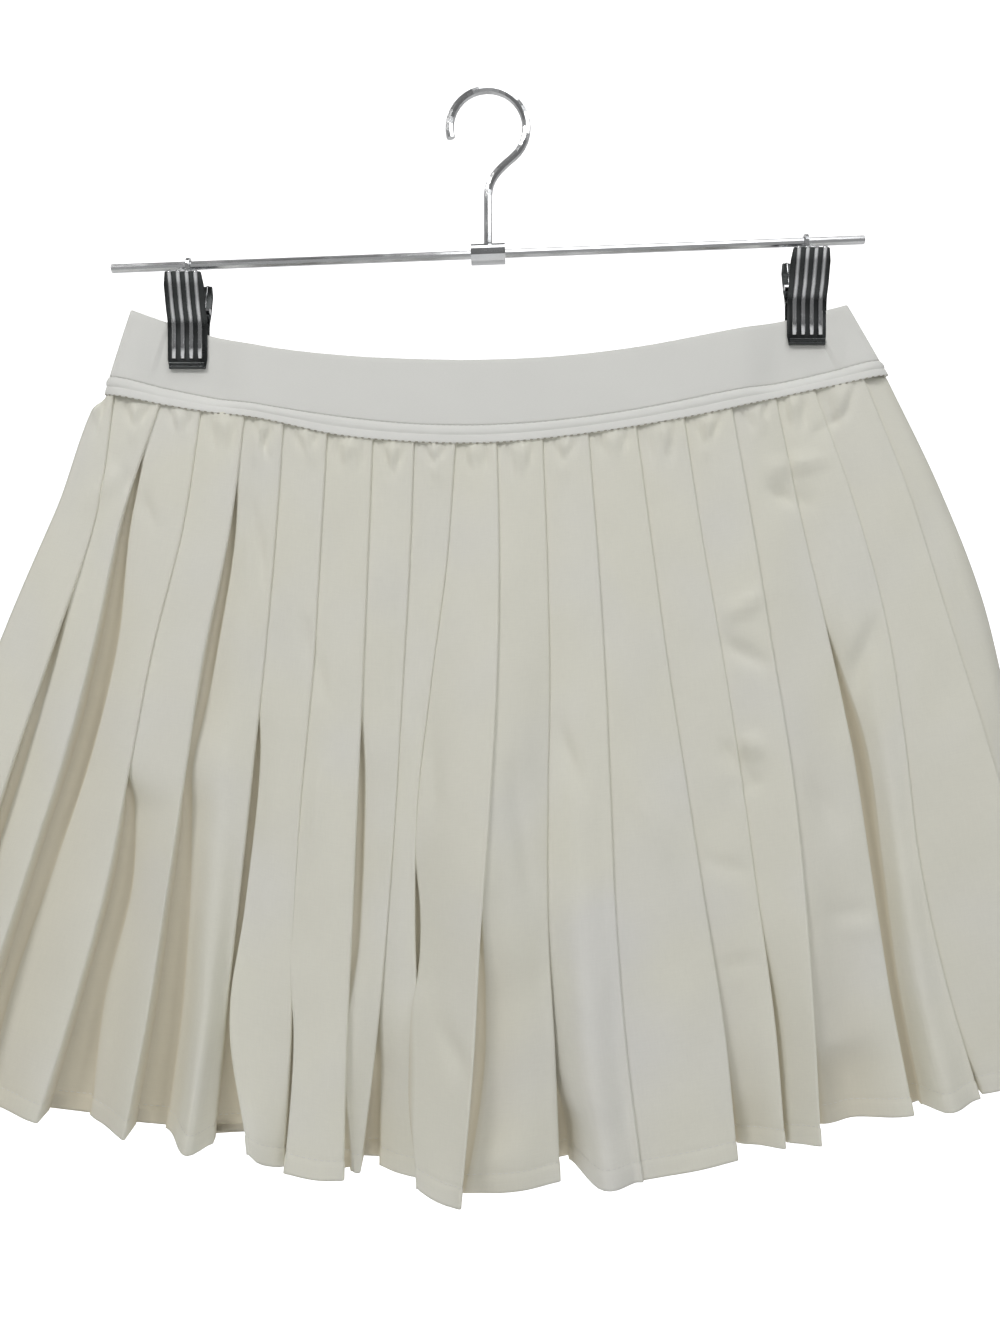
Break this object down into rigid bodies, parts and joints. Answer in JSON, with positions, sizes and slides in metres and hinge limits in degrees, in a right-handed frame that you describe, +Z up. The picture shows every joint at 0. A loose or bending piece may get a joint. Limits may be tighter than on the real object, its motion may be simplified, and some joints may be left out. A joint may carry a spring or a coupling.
{
  "type": "pleated tennis skirt on a clip hanger",
  "caption": "Short knife-pleated tennis skirt with a flat elastic waistband, hanging from a plain metal clip hanger.",
  "frame": {"origin": "where the hanger's hook bears on a rail: the lowest point of the inside of the hook's turn", "axes": "+X along the waist to the viewer's right, -Y out of the skirt's front, +Z up"},
  "size_m": [0.577, 0.0899, 0.503],
  "materials": {
    "elastic": "matte white knitted elastic",
    "pleated_cloth": "matte ivory plain weave",
    "steel": "dark polished steel"
  },
  "bodies": {
    "root": {"waistband_front": "elastic", "waistband_back": "elastic", "binding_front": "elastic", "binding_back": "elastic", "skirt_front": "pleated_cloth", "skirt_back": "pleated_cloth", "hanger_bar": "steel", "hanger_hub": "steel", "hanger_hook": "steel", "clip_left_front_jaw": "steel", "clip_left_back_jaw": "steel", "clip_left_pin": "steel", "clip_left_spring_outer": "steel", "clip_left_spring_inner": "steel", "clip_left_link": "steel", "clip_right_front_jaw": "steel", "clip_right_back_jaw": "steel", "clip_right_pin": "steel", "clip_right_spring_outer": "steel", "clip_right_spring_inner": "steel", "clip_right_link": "steel"}
  },
  "joints": []
}
